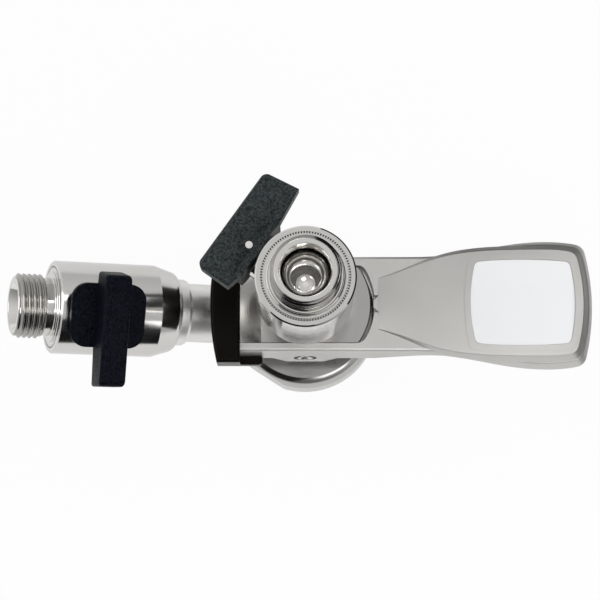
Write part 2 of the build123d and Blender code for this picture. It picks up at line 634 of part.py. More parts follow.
for line, flow, top, bottom in (("beer", beer_flow, BEER_TOP, BEER_BOTTOM),
                                ("gas", gas_flow, GAS_OUTER, GAS_INNER)):
    save(valve_body(flow, top, bottom), f"{line}_valve_body")
    save(valve_end(flow, top), f"{line}_valve_end")
    save(valve_seat(flow, 1), f"{line}_outer_seat")
    save(valve_seat(flow, -1), f"{line}_inner_seat")
    save(valve_ball(flow), f"{line}_ball")
    save(valve_stem(flow), f"{line}_stem")
    save(ring(stem_plane(flow, PACKING_FOOT), PACKING_R, STEM_R + RUNNING, PACKING_THICK),
         f"{line}_packing")
    gland_foot = PACKING_FOOT + PACKING_THICK
    save(ring(stem_plane(flow, gland_foot), PACKING_R, STEM_R + RUNNING, GLAND_TOP - gland_foot),
         f"{line}_gland")
    save(valve_handle(flow), f"{line}_handle")
    save(grub_screw(flow), f"{line}_handle_screw")

def lever_outline(grow, flare):
    """Plan of the lever: arms wider by grow, flared paddle with a rounded end larger by flare."""
    with BuildSketch() as outline:
        with BuildLine():
            arm = Polyline((HINGE_X - 2 * ARM_END_R, 0), (HINGE_X - 2 * ARM_END_R, ARM_HALF + grow),
                           (THROAT_X, ARM_HALF + grow))
            Spline(arm @ 1, (PADDLE_X, PADDLE_HALF + flare),
                   (PADDLE_CORNER_X + flare, PADDLE_CORNER_HALF + flare), tangents=[(1, 0), (1, -0.3)])
            TangentArc((PADDLE_END_X + flare, 0), (PADDLE_CORNER_X + flare, PADDLE_CORNER_HALF + flare),
                       tangent=(0, 1))
            mirror(about=Plane.XZ)
        make_face()
        fillet(outline.vertices().group_by(Axis.X)[-1], PADDLE_CORNER_R)
    return outline.sketch


def cover_outline(grow):
    """Plan of the grip cover: narrow tip in the throat, flared sides, rounded end."""
    with BuildSketch() as outline:
        with BuildLine():
            tip = Line((COVER_TIP_X, 0), (COVER_TIP_X, COVER_TIP_HALF + grow))
            Spline(tip @ 1, (COVER_THROAT_X, COVER_THROAT_HALF + grow), (PADDLE_X, COVER_HALF + grow),
                   (COVER_CORNER_X + grow, COVER_CORNER_HALF + grow), tangents=[(1, 0.3), (1, -0.3)])
            TangentArc((COVER_END_X + grow, 0), (COVER_CORNER_X + grow, COVER_CORNER_HALF + grow),
                       tangent=(0, 1))
            mirror(about=Plane.XZ)
        make_face()
        fillet(outline.vertices().group_by(Axis.X)[-1], COVER_CORNER_R)
    return outline.sketch


# ---- Lever fork: two arms, window, throat and hollow paddle, one casting ---------------------------
foot_flare = PADDLE_FLARE * (LEVER_TOP - CHEEK_FOOT) / (LEVER_TOP - PADDLE_FOOT)
with BuildPart() as fork:
    with BuildSketch(Plane.XY.offset(CHEEK_FOOT)):
        add(lever_outline(LEVER_FLARE, foot_flare))
    with BuildSketch(Plane.XY.offset(LEVER_TOP)):
        add(lever_outline(0, 0))
    loft(ruled=True)
    fillet(fork.faces().sort_by(Axis.Z)[-1].edges(), PADDLE_EDGE)
    # side outline: hinge end, cheek round the slot, rising belly of the paddle
    with BuildSketch(Plane.XZ) as fork_side:
        with BuildLine():
            Polyline((HINGE_X, LEVER_TOP), (HINGE_X, HINGE_Z - ARM_END_R),
                     (-CHEEK_HALF - ARM_END_R, ARM_FOOT), (-CHEEK_HALF, CHEEK_FOOT),
                     (CHEEK_HALF, CHEEK_FOOT), (CHEEK_HALF + ARM_END_R, ARM_FOOT),
                     (WINDOW_R, ARM_FOOT), (THROAT_X + ARM_END_R, PADDLE_FOOT),
                     (2 * PADDLE_END_X, PADDLE_FOOT), (2 * PADDLE_END_X, LEVER_TOP), (HINGE_X, LEVER_TOP))
        make_face()
        fillet(fork_side.vertices().group_by(Axis.Y)[0], ARM_END_R / 2)
        with Locations((HINGE_X, HINGE_Z)):
            Circle(ARM_END_R)
    extrude(amount=2 * PADDLE_HALF, both=True, mode=Mode.INTERSECT)
    # rounded lower edge of the paddle
    foot = fork.faces().filter_by(lambda f: f.normal_at().Z < -0.99).sort_by(Axis.X)[-1]
    fillet(foot.edges().sort_by(Axis.X)[1:], FOOT_EDGE)
    # window between the arms, open at the back
    with BuildSketch(Plane.XY.offset(CHEEK_FOOT)) as window:
        Circle(WINDOW_R)
        with Locations((-2 * WINDOW_R, 0)):
            Rectangle(4 * WINDOW_R, 4 * WINDOW_R)
        Rectangle(8 * WINDOW_R, 2 * ARM_GAP_HALF, mode=Mode.INTERSECT)
        corners = window.vertices().filter_by(lambda v: abs(v.Y) > BLOCK_HALF)
        fillet(corners.group_by(Axis.X)[-1], WINDOW_CORNER)
    extrude(amount=LEVER_TOP, mode=Mode.SUBTRACT)
    # hinge holes and trunnion slots
    with BuildSketch(Plane.XZ):
        with Locations((HINGE_X, HINGE_Z)):
            Circle(HINGE_PIN_R + 2 * RUNNING)
        with Locations((0, TRUNNION_Z)):
            SlotOverall(2 * (TRUNNION_R + TRUNNION_PLAY) + TRUNNION_RUN, 2 * (TRUNNION_R + TRUNNION_PLAY))
    extrude(amount=2 * PADDLE_HALF, both=True, mode=Mode.SUBTRACT)
    # channel of the latch bar and spring
    with BuildSketch(Plane.XY.offset(LEVER_TOP - CHANNEL_DEPTH)):
        with Locations((SPRING_END_X / 2, 0)):
            Rectangle(SPRING_END_X, 2 * LATCH_HALF + PASSING)
    extrude(amount=CHANNEL_DEPTH, mode=Mode.SUBTRACT)
    # hollow underside, with a rib left under the channel
    with BuildSketch(Plane.XY.offset(PADDLE_FOOT)):
        add(lever_outline(-PADDLE_WALL, -PADDLE_WALL))
        with Locations((THROAT_X + PADDLE_END_X, 0)):
            Rectangle(2 * PADDLE_END_X - ARM_END_R, 2 * PADDLE_END_X, mode=Mode.INTERSECT)
        Rectangle(4 * PADDLE_END_X, 2 * (LATCH_HALF + PADDLE_WALL), mode=Mode.SUBTRACT)
    extrude(amount=LEVER_TOP - PADDLE_FOOT - PADDLE_WALL, mode=Mode.SUBTRACT)
save(fork.part, "lever_fork")


def label_outline(gap):
    """Face of the label: a rectangle whose four sides bulge, smaller all round by a gap."""
    long_side = LABEL_HALF_LONG - gap
    wide_side = LABEL_HALF_WIDE - gap
    with BuildSketch() as outline:
        with BuildLine():
            ThreePointArc((long_side, -wide_side), (long_side + LABEL_BULGE_LONG, 0),
                          (long_side, wide_side))
            ThreePointArc((long_side, wide_side), (0, wide_side + LABEL_BULGE_WIDE),
                          (-long_side, wide_side))
            mirror(about=Plane.XZ)
            mirror(about=Plane.YZ)
        make_face()
        fillet(outline.vertices().filter_by(lambda v: abs(v.X) > long_side / 2), LABEL_CORNER)
    return outline.sketch


def above_crown(drop):
    """The room above the crown of the grip cover, let down by a drop."""
    half = 2 * COVER_HALF
    fall = CROWN_WIDE_R - math.sqrt(CROWN_WIDE_R ** 2 - half ** 2)
    crest = Vector(COVER_CROWN_X, 0, COVER_TOP - drop)
    with BuildPart() as room:
        with BuildSketch(Plane(origin=crest, x_dir=(0, 1, 0), z_dir=(1, 0, 0))):
            with BuildLine():
                arch = ThreePointArc((-half, -fall), (0, 0), (half, -fall))
                Polyline(arch @ 1, (half, COVER_TOP), (-half, COVER_TOP), arch @ 0)
            make_face()
        revolve(axis=Axis(crest - (0, 0, CROWN_LONG_R), (0, 1, 0)))
    return room.part


# ---- Grip cover: crowned shell that slides out on the paddle -----------------------------------------
with BuildPart() as cover:
    with BuildSketch(Plane.XY.offset(LEVER_TOP)):
        add(cover_outline(0))
    with BuildSketch(Plane.XY.offset(COVER_TOP)):
        add(cover_outline(-COVER_LEAN))
    loft(ruled=True)
    # crown, and the step round the frame of the label
    add(above_crown(0), mode=Mode.SUBTRACT)
    fillet(cover.faces().sort_by(Axis.Z)[-1].edges().sort_by(Axis.X)[1:], COVER_EDGE)
    with BuildPart(mode=Mode.SUBTRACT):
        add(above_crown(FRAME_STEP))
        with BuildSketch(Plane.XY):
            with Locations((LABEL_X, 0)):
                add(label_outline(-FRAME_WIDE))
        extrude(amount=2 * COVER_TOP, mode=Mode.SUBTRACT)
    with BuildSketch(Plane.XY.offset(LABEL_FLOOR)):
        with Locations((LABEL_X, 0)):
            add(label_outline(0))
    extrude(amount=COVER_TOP, mode=Mode.SUBTRACT)
    # hollow underside and the hole of the latch bar's post
    with BuildSketch(Plane.XY.offset(LEVER_TOP)):
        add(cover_outline(-COVER_WALL - COVER_LEAN))
        with Locations((HOLLOW_X + COVER_END_X, 0)):
            Rectangle(2 * COVER_END_X, 4 * COVER_HALF, mode=Mode.INTERSECT)
    extrude(amount=LABEL_FLOOR - COVER_WALL - LEVER_TOP, mode=Mode.SUBTRACT)
    with BuildSketch(Plane.XY.offset(LEVER_TOP)):
        with Locations((POST_X, 0)):
            Circle(POST_R + RUNNING)
    extrude(amount=POST_HEIGHT + RUNNING, mode=Mode.SUBTRACT)
save(cover.part, "grip_cover")

# ---- Label plate, bare ---------------------------------------------------------------------------------
with BuildPart() as label:
    with BuildSketch(Plane.XY.offset(LABEL_FLOOR)):
        with Locations((LABEL_X, 0)):
            add(label_outline(2 * RUNNING))
    extrude(amount=LABEL_THICK)
save(label.part, "grip_label")

# ---- Latch bar: slides with the grip cover, its nose faces the block -----------------------------------
with BuildPart() as latch:
    with BuildSketch(Plane.XZ):
        with BuildLine():
            Polyline((LATCH_NOSE_X, LEVER_TOP), (LATCH_NOSE_X, LEVER_TOP - LATCH_THICK / 2),
                     (LATCH_NOSE_X + LATCH_THICK / 2, LEVER_TOP - LATCH_THICK),
                     (LATCH_END_X, LEVER_TOP - LATCH_THICK), (LATCH_END_X, LEVER_TOP),
                     (LATCH_NOSE_X, LEVER_TOP))
        make_face()
    extrude(amount=LATCH_HALF, both=True)
    chamfer(latch.edges().filter_by(Axis.Z).group_by(Axis.X)[0], LATCH_HALF - LATCH_NOSE_HALF)
    with BuildSketch(Plane.XY.offset(LEVER_TOP)):
        with Locations((POST_X, 0)):
            Circle(POST_R)
    extrude(amount=POST_HEIGHT)
save(latch.part, "latch_bar")

# ---- Latch spring, between the bar and the end of the channel -------------------------------------------
spring_long = SPRING_END_X - LATCH_END_X - 2 * SPRING_WIRE_HALF - 2 * RUNNING
with BuildPart() as spring:
    with BuildLine():
        spring_foot = (LATCH_END_X + SPRING_WIRE_HALF + RUNNING, 0, LEVER_TOP - CHANNEL_DEPTH / 2)
        coil = Helix(pitch=spring_long / SPRING_TURNS, height=spring_long, radius=SPRING_R,
                     direction=(1, 0, 0), center=spring_foot)
    with BuildSketch(Plane(origin=coil @ 0, z_dir=coil % 0)):
        Rectangle(2 * SPRING_WIRE_HALF, 2 * SPRING_WIRE_HALF)
    sweep(is_frenet=True)
save(spring.part, "latch_spring")

# ---- Hinge cover: black moulding over the ends of the arms ------------------------------------------------
with BuildPart() as guard:
    with BuildSketch(Plane.XY.offset(GUARD_BOTTOM)) as guard_outline:
        with BuildLine():
            back = ThreePointArc((GUARD_SIDE_X, -GUARD_HALF), (GUARD_REAR_X, 0), (GUARD_SIDE_X, GUARD_HALF))
            Polyline(back @ 1, (GUARD_FRONT_X, GUARD_HALF), (GUARD_FRONT_X, -GUARD_HALF), back @ 0)
        make_face()
    extrude(amount=GUARD_TOP - GUARD_BOTTOM)
    fillet(guard.faces().sort_by(Axis.Z)[-1].edges(), GUARD_EDGE)
    with BuildSketch(Plane.XY.offset(GUARD_BOTTOM)):
        with Locations(((GUARD_FOOT_X + GUARD_SIDE_X) / 2, 0)):
            Rectangle(GUARD_FOOT_X - GUARD_SIDE_X, 2 * GUARD_HALF)
    extrude(amount=GUARD_FOOT_TOP - GUARD_BOTTOM)
    fillet(guard.edges().filter_by(Axis.Z).group_by(Axis.X)[-1], GUARD_EDGE)
    # room for the arms and the hinge lug, open in front and below
    with BuildSketch(Plane.XZ):
        with BuildLine():
            Polyline((HINGE_X, HINGE_Z + ARM_END_R + RUNNING), (0, HINGE_Z + ARM_END_R + RUNNING),
                     (0, 0), (HINGE_X - ARM_END_R - RUNNING, 0),
                     (HINGE_X - ARM_END_R - RUNNING, HINGE_Z), (HINGE_X, HINGE_Z),
                     (HINGE_X, HINGE_Z + ARM_END_R + RUNNING))
        make_face()
        with Locations((HINGE_X, HINGE_Z)):
            Circle(ARM_END_R + RUNNING)
    extrude(amount=ARM_LOW_HALF + RUNNING, both=True, mode=Mode.SUBTRACT)
    with BuildSketch(Plane.XZ):
        with Locations((HINGE_X, HINGE_Z)):
            Circle(HINGE_PIN_R + RUNNING)
    extrude(amount=GUARD_HALF - GUARD_EDGE + RUNNING, both=True, mode=Mode.SUBTRACT)
save(guard.part, "hinge_cover")
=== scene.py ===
"""Looks of a bayonet keg coupler: chromed housing, two ball valves and a cast lever."""
import json
import math

import bpy
import numpy as np
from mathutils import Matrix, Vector


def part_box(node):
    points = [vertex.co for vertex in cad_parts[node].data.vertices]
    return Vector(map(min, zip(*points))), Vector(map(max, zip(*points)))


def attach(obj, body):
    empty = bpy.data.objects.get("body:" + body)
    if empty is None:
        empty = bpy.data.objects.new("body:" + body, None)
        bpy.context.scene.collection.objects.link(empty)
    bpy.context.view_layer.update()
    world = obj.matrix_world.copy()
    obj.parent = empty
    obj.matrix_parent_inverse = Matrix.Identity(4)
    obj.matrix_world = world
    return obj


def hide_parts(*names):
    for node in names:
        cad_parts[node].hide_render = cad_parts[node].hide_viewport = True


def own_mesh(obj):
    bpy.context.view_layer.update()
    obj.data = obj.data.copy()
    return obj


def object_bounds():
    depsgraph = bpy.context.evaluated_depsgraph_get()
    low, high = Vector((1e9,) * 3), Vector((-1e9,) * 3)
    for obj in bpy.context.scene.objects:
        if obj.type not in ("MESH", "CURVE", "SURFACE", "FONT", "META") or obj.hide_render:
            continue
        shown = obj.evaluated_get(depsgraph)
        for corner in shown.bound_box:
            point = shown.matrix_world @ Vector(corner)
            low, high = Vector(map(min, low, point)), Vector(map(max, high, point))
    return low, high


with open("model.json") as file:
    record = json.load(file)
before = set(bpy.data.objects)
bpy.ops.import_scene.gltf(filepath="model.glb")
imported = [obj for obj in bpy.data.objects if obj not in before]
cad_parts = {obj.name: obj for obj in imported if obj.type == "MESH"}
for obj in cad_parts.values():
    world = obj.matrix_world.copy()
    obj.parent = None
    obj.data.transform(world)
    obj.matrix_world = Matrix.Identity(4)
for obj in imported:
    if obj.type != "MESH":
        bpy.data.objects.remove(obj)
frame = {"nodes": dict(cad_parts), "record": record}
nodes = frame["nodes"]
record = frame["record"]
MOUNTS = {mount["name"]: mount for mount in record["mounts"]}
SLOTS = {part["node"]: part["material_slot"] for part in record["subparts"]}
MM = 0.001


def note_size():
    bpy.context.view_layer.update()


note_size()

# ---- Node helpers -------------------------------------------------------------------------


def feed(tree, sockets, values):
    """Sets each socket to its number or vector, or links it to its socket."""
    for socket, value in zip(sockets, values):
        if isinstance(value, bpy.types.NodeSocket):
            tree.links.new(value, socket)
        else:
            socket.default_value = value


def math_step(tree, operation, *values):
    """One Math node; returns its output."""
    node = tree.nodes.new("ShaderNodeMath")
    node.operation = operation
    feed(tree, node.inputs, values)
    return node.outputs[0]


def vector_step(tree, operation, *values):
    """One Vector Math node; returns its output, a number for a dot product or a length."""
    node = tree.nodes.new("ShaderNodeVectorMath")
    node.operation = operation
    feed(tree, node.inputs, values)
    return node.outputs["Value" if operation in ("DOT_PRODUCT", "LENGTH") else "Vector"]


def noise(tree, place, scale, detail):
    """Noise from 0 to 1 at a place, at a scale given as a number or a socket."""
    texture = tree.nodes.new("ShaderNodeTexNoise")
    texture.inputs["Detail"].default_value = detail
    feed(tree, [texture.inputs["Vector"], texture.inputs["Scale"]], [place, scale])
    return texture.outputs["Fac"]


def spread(tree, value, low, high):
    """Maps the middle range of a noise onto low to high."""
    node = tree.nodes.new("ShaderNodeMapRange")
    node.inputs["From Min"].default_value = 0.3
    node.inputs["From Max"].default_value = 0.7
    feed(tree, [node.inputs["Value"], node.inputs["To Min"], node.inputs["To Max"]],
         [value, low, high])
    return node.outputs["Result"]


def object_place(tree):
    """The place on the piece, in metres."""
    return tree.nodes.new("ShaderNodeTexCoord").outputs["Object"]


# ---- Shared effects -----------------------------------------------------------------------


def group(name, inputs, output):
    """An empty node group.  inputs are (label, kind, value) and output is (label, kind), with
    kind Float, Vector or Color.  Returns the tree, its input sockets and its output socket."""
    tree = bpy.data.node_groups.new(name, "ShaderNodeTree")
    for label, kind, value in inputs:
        socket = tree.interface.new_socket(label, in_out="INPUT", socket_type="NodeSocket" + kind)
        socket.default_value = value
    label, kind = output
    tree.interface.new_socket(label, in_out="OUTPUT", socket_type="NodeSocket" + kind)
    start, end = tree.nodes.new("NodeGroupInput"), tree.nodes.new("NodeGroupOutput")
    return tree, start.outputs, end.inputs[label]


def smudge_group():
    """Roughness that drifts between two values over a few millimetres, like handled metal."""
    tree, given, roughness = group("smudges", [("Low", "Float", 0.05), ("High", "Float", 0.1)],
                                   ("Roughness", "Float"))
    cloud = noise(tree, object_place(tree), 60, 4)
    tree.links.new(spread(tree, cloud, given["Low"], given["High"]), roughness)
    return tree


def grain_group():
    """Fine moulded or cast grain, as a height."""
    tree, given, height = group("grain", [("Fineness", "Float", 2500)], ("Height", "Float"))
    tree.links.new(noise(tree, object_place(tree), given["Fineness"], 3), height)
    return tree


def drift_group():
    """A colour that drifts between two shades."""
    tree, given, color = group("drift", [("Dark", "Color", (0.4, 0.4, 0.4, 1)),
                                         ("Light", "Color", (0.6, 0.6, 0.6, 1)),
                                         ("Scale", "Float", 40)], ("Color", "Color"))
    cloud = noise(tree, object_place(tree), given["Scale"], 3)
    mix = tree.nodes.new("ShaderNodeMix")
    mix.data_type = "RGBA"
    feed(tree, [mix.inputs[0], mix.inputs[6], mix.inputs[7]],
         [spread(tree, cloud, 0.0, 1.0), given["Dark"], given["Light"]])
    tree.links.new(mix.outputs[2], color)
    return tree


def turned_group():
    """Height of turned marks: noise over the height along an axis and the radius from it, both
    counted in marks, so that the marks run round the axis."""
    tree, given, height = group("turned", [("Base", "Vector", (0, 0, 0)),
                                           ("Axis", "Vector", (0, 0, 1)),
                                           ("Marks per metre", "Float", 2000)],
                                ("Height", "Float"))
    reach = vector_step(tree, "SUBTRACT", object_place(tree), given["Base"])
    counted = vector_step(tree, "MULTIPLY", reach, given["Marks per metre"])
    beside = vector_step(tree, "CROSS_PRODUCT", counted, given["Axis"])
    place = tree.nodes.new("ShaderNodeCombineXYZ")
    feed(tree, [place.inputs["X"], place.inputs["Y"]],
         [vector_step(tree, "DOT_PRODUCT", counted, given["Axis"]),
          vector_step(tree, "LENGTH", beside)])
    tree.links.new(noise(tree, place.outputs["Vector"], 1.0, 2), height)
    return tree


SMUDGES = smudge_group()
GRAIN = grain_group()
DRIFT = drift_group()
TURNED = turned_group()


def add_effect(tree, effect, **values):
    """Puts a shared effect into a material with its own values; returns its output."""
    node = tree.nodes.new("ShaderNodeGroup")
    node.node_tree = effect
    for label, value in values.items():
        node.inputs[label.replace("_", " ")].default_value = value
    return node.outputs[0]


def drifting(tree, color, drift, scale):
    """A colour that drifts by a share of itself to either side."""
    return add_effect(tree, DRIFT, Scale=scale, Dark=[c * (1 - drift) for c in color] + [1],
                      Light=[min(1, c * (1 + drift)) for c in color] + [1])


# ---- Finishes -----------------------------------------------------------------------------
FINISHES = {}


def finish(name, color, metallic, rough, drift=0.03, drift_scale=40, coat=0.0, specular=0.5,
           grain=None, lines=None):
    """One finish: drifting colour and roughness.  grain is (fineness, depth) of moulded grain, and
    lines is (base, axis, pitch, depth) of turned marks, in metres."""
    material = bpy.data.materials.new(name)
    material.use_nodes = True
    tree = material.node_tree
    shader = tree.nodes["Principled BSDF"]
    shader.inputs["Metallic"].default_value = metallic
    shader.inputs["Coat Weight"].default_value = coat
    shader.inputs["Coat Roughness"].default_value = 0.04
    shader.inputs["Specular IOR Level"].default_value = specular
    tree.links.new(drifting(tree, color, drift, drift_scale), shader.inputs["Base Color"])
    tree.links.new(add_effect(tree, SMUDGES, Low=rough[0], High=rough[1]),
                   shader.inputs["Roughness"])
    if grain:
        fineness, depth = grain
        relief = add_effect(tree, GRAIN, Fineness=fineness)
    elif lines:
        base, axis, pitch, depth = lines
        relief = add_effect(tree, TURNED, Base=base, Axis=axis, Marks_per_metre=1 / pitch)
    if grain or lines:
        bump = tree.nodes.new("ShaderNodeBump")
        bump.inputs["Strength"].default_value = 1.0
        bump.inputs["Distance"].default_value = depth
        tree.links.new(relief, bump.inputs["Height"])
        tree.links.new(bump.outputs["Normal"], shader.inputs["Normal"])
    FINISHES[name] = material


UPRIGHT = ((0, 0, 0), (0, 0, 1))
GAS_LINE = (MOUNTS["gas_inlet"]["pos_m"], MOUNTS["gas_inlet"]["axis"])
low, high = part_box("beer_stem")
BEER_BALL = (0, 0, (low[2] + high[2]) / 2)
BEER_STEM = Vector(((low[0] + high[0]) / 2, (low[1] + high[1]) / 2, 0)).normalized()

finish("chrome", (0.48, 0.472, 0.457), 1.0, (0.16, 0.22), lines=(*UPRIGHT, 0.0006, 0.00002))
finish("valve_steel", (0.72, 0.71, 0.685), 1.0, (0.05, 0.10),
       lines=(*UPRIGHT, 0.0004, 0.00001))
finish("turned_end", (0.76, 0.75, 0.72), 1.0, (0.05, 0.10), lines=(*UPRIGHT, 0.0005, 0.00012))
finish("gas_valve_steel", (0.64, 0.63, 0.61), 1.0, (0.12, 0.18),
       lines=(*GAS_LINE, 0.0004, 0.000006))
# Painted shade: the thread's steel is darker than the rest of the end, standing in for the shade
# in its grooves.
finish("thread_steel_painted_shade", (0.36, 0.35, 0.33), 1.0, (0.12, 0.20))
# Painted light: a bright, smooth steel for the coned mouths and bores, standing in for light
# falling into them.
finish("bore_steel_painted_light", (0.76, 0.75, 0.73), 1.0, (0.04, 0.08), lines=(*UPRIGHT, 0.0004, 0.00001))
finish("turned_ball", (0.92, 0.91, 0.89), 1.0, (0.04, 0.08),
       lines=(BEER_BALL, BEER_STEM, 0.0004, 0.00005))
finish("tail_steel", (0.80, 0.79, 0.77), 1.0, (0.34, 0.42))
# Painted highlight: near-white steel so that the handle screw's head shows as a white spot.
finish("screw_painted_highlight", (0.95, 0.94, 0.92), 1.0, (0.25, 0.32))
finish("steel", (0.64, 0.63, 0.61), 1.0, (0.08, 0.16))
# Near-black steel, also used as painted shade in the heads' grooves and between the knurls' teeth.
finish("dark_steel", (0.03, 0.029, 0.027), 1.0, (0.25, 0.35))
finish("cast_lever", (0.59, 0.58, 0.56), 0.80, (0.38, 0.46), grain=(1800.0, 0.00003))
finish("black_grained", (0.0038, 0.0048, 0.0090), 0.0, (0.34, 0.46), drift=0.9,
       drift_scale=900, specular=0.04, grain=(1000.0, 0.0004))
finish("black_mottled", (0.024, 0.031, 0.032), 0.0, (0.34, 0.46), drift=0.97,
       drift_scale=1100, specular=0.20, grain=(1000.0, 0.0004))
finish("black_smooth", (0.005, 0.004, 0.003), 0.0, (0.20, 0.30), drift=0.2, specular=0.05)
finish("label", (0.90, 0.91, 0.925), 0.0, (0.10, 0.16), drift=0.01, coat=0.6)
finish("rubber", (0.03, 0.03, 0.03), 0.0, (0.5, 0.65), drift=0.2)
finish("ptfe", (0.90, 0.90, 0.88), 0.0, (0.35, 0.45), drift=0.02)

# These nodes look a little different from the rest of their slot; the handle screw's near-white
# steel is a painted highlight.
OWN_FINISH = {"gas_valve_body": "gas_valve_steel", "beer_ball": "turned_ball",
              "gas_tail": "tail_steel", "beer_handle": "black_mottled",
              "beer_handle_screw": "screw_painted_highlight"}


def paint(piece, *names):
    """Gives a piece its finishes, in the order that its faces count them."""
    piece.data.materials.clear()
    for name in names:
        piece.data.materials.append(FINISHES[name])


for node, slot in SLOTS.items():
    paint(nodes[node], OWN_FINISH.get(node, slot))

# ---- Turned pieces ------------------------------------------------------------------------


def mesh_piece(name, points, faces, sharp):
    """A smooth piece from its points and faces, with edges sharper than an angle kept sharp."""
    mesh = bpy.data.meshes.new(name)
    mesh.from_pydata(points.reshape(-1, 3).tolist(), [], faces)
    mesh.polygons.foreach_set("use_smooth", np.ones(len(faces), bool))
    mesh.set_sharp_from_angle(angle=math.radians(sharp))
    mesh.update()
    piece = bpy.data.objects.new(name, mesh)
    bpy.context.scene.collection.objects.link(piece)
    return piece


def grid_faces(rows, columns, closed):
    """Four-sided faces of a grid whose columns close up, and whose rows do if closed is true."""
    steps = rows if closed else rows - 1
    i, j = np.meshgrid(np.arange(steps), np.arange(columns), indexing="ij")
    ahead, beside = (i + 1) % rows, (j + 1) % columns
    return np.stack([i * columns + j, ahead * columns + j, ahead * columns + beside,
                     i * columns + beside], axis=-1).reshape(-1, 4).tolist()


def lathe(name, profile, base, axis, side, turns, relief):
    """A turned piece as one closed grid.  profile is (radius, height) pairs in metres along the
    axis from base.  A point is base + h * axis + r * (cos a * side + sin a * (axis x side)), where
    relief(r, h, a) gives the radius r from the profile's radius."""
    along = np.array(axis, float)
    along /= np.linalg.norm(along)
    across = np.array(side, float)
    across -= across @ along * along
    across /= np.linalg.norm(across)
    third = np.cross(along, across)
    radius, height = (np.array(column, float) for column in zip(*profile))
    angle = np.linspace(0, 2 * math.pi, turns, endpoint=False)
    r, a = np.meshgrid(radius, angle)
    h = np.broadcast_to(height, r.shape)
    r = relief(r, h, a)
    points = (np.array(base, float) + h[..., None] * along
              + r[..., None] * (np.cos(a)[..., None] * across + np.sin(a)[..., None] * third))
    return mesh_piece(name, points, grid_faces(*r.shape, closed=True), 30)


# Sizes of a valve's end piece: how far it reaches in from the tip to the head's face and out
# from the ball to its inner end, then radii and heights from the inner end to the mouth.
END_OUT = 17.0 * MM
SEAT_OUT = 12.0 * MM
INSERT_R = 15.0 * MM
HEAD_R, HEAD_THICK = 17.9 * MM, 4.2 * MM
BOSS_R, BOSS_HIGH = 15.5 * MM, 0.9 * MM
BOSS_FOOT, BOSS_EDGE = 0.25 * MM, 0.2 * MM
NECK_R, NECK_FOOT = 12.6 * MM, 0.3 * MM
PITCH, THREAD_DEPTH = 2.4 * MM, 0.9 * MM
RUN_OUT, LIP = 1.4 * MM, 1.6 * MM
LIP_R, LIP_EDGE = 12.4 * MM, 0.15 * MM
MOUTH_R, MOUTH_DEEP = 10.4 * MM, 15.6 * MM
BORE_R = 6.2 * MM
THREAD_STEPS, END_STEPS = 110, 300

# Sizes of the knurl, which stands in a groove round the head's edge.
KNURL_WIDE, KNURL_HIGH = 0.75 * MM, 0.9 * MM
TEETH, TOOTH_STEPS = 100, 10
CROWN = 0.03 * MM
KNURL_SET = 0.02 * MM
TOOTH_FOOT = 0.05 * MM


def end_place(line, mount):
    """Where a valve's end piece lies: the middle and axis of its thread and the radius of the
    crests, then the heights of the thread's start, the tip, the head's face and the inner end."""
    axis = Vector(MOUNTS[mount]["axis"])
    middle = Vector(MOUNTS[mount]["pos_m"])
    crest = MOUNTS[mount]["dims"]["r_mm"] * MM
    half = MOUNTS[mount]["dims"]["length_mm"] * MM / 2
    start, tip = -half - RUN_OUT, half + LIP
    low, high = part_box(f"{line}_ball")
    inner = ((Vector(low) + Vector(high)) / 2 - middle).dot(axis) + SEAT_OUT
    return middle, axis, crest, start, tip, tip - END_OUT, inner


def valve_end(line, mount, body, steel):
    """End piece of a valve: insert and head, boss, neck with a round thread, coned mouth."""
    middle, axis, crest, start, tip, face, inner = end_place(line, mount)
    insert = [(BORE_R, inner), (INSERT_R, inner), (INSERT_R, face - HEAD_THICK),
              (HEAD_R, face - HEAD_THICK)]
    groove = [(HEAD_R, face - KNURL_HIGH), (HEAD_R - KNURL_WIDE, face - KNURL_HIGH)]
    boss = [(HEAD_R - KNURL_WIDE, face), (BOSS_R + BOSS_FOOT, face), (BOSS_R, face + BOSS_FOOT),
            (BOSS_R, face + BOSS_HIGH - BOSS_EDGE), (BOSS_R - BOSS_EDGE, face + BOSS_HIGH),
            (NECK_R + NECK_FOOT, face + BOSS_HIGH), (NECK_R, face + BOSS_HIGH + NECK_FOOT),
            (NECK_R, start)]
    thread = [(crest, start + (tip - start) * step / THREAD_STEPS)
              for step in range(1, THREAD_STEPS)]
    lip = [(LIP_R, tip - LIP_EDGE), (LIP_R - LIP_EDGE, tip), (MOUTH_R + LIP_EDGE, tip)]
    bore = [(MOUTH_R, tip - LIP_EDGE), (BORE_R, tip - MOUTH_DEEP)]

    def thread_relief(r, h, a):
        """Round thread: the radius swings by a cosine of height less turn, and runs out at both
        ends."""
        wave = 0.5 + 0.5 * np.cos(2 * math.pi * h / PITCH - a)
        cut = crest - THREAD_DEPTH * (1 - wave)
        fade_low = np.clip((h - start) / RUN_OUT, 0, 1)
        fade_high = np.clip((tip - h) / LIP, 0, 1)
        threaded = NECK_R + (cut - NECK_R) * fade_low
        threaded = np.minimum(threaded, LIP_R + (cut - LIP_R) * fade_high)
        return np.where(np.abs(r - crest) < 1e-7, threaded, r)

    piece = lathe(f"{line}_valve_end_threaded",
                  insert + groove + boss + thread + lip + bore + [(BORE_R, inner)],
                  middle, axis, (0, 1, 0), END_STEPS, thread_relief)
    # Painted light: the groove round the head is near black as painted shade, the thread darker as
    # painted shade in its grooves, and the bore brighter as painted light inside it.
    paint(piece, steel, "dark_steel", "thread_steel_painted_shade", "bore_steel_painted_light")
    finish_of_face = [0] * len(insert) + [1] * len(groove) + [0] * len(boss)
    finish_of_face += [2] * (len(thread) - 1) + [0] * (1 + len(lip)) + [3] * len(bore) + [0]
    piece.data.polygons.foreach_set("material_index", np.tile(finish_of_face, END_STEPS))
    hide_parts(f"{line}_valve_end")
    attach(piece, body)


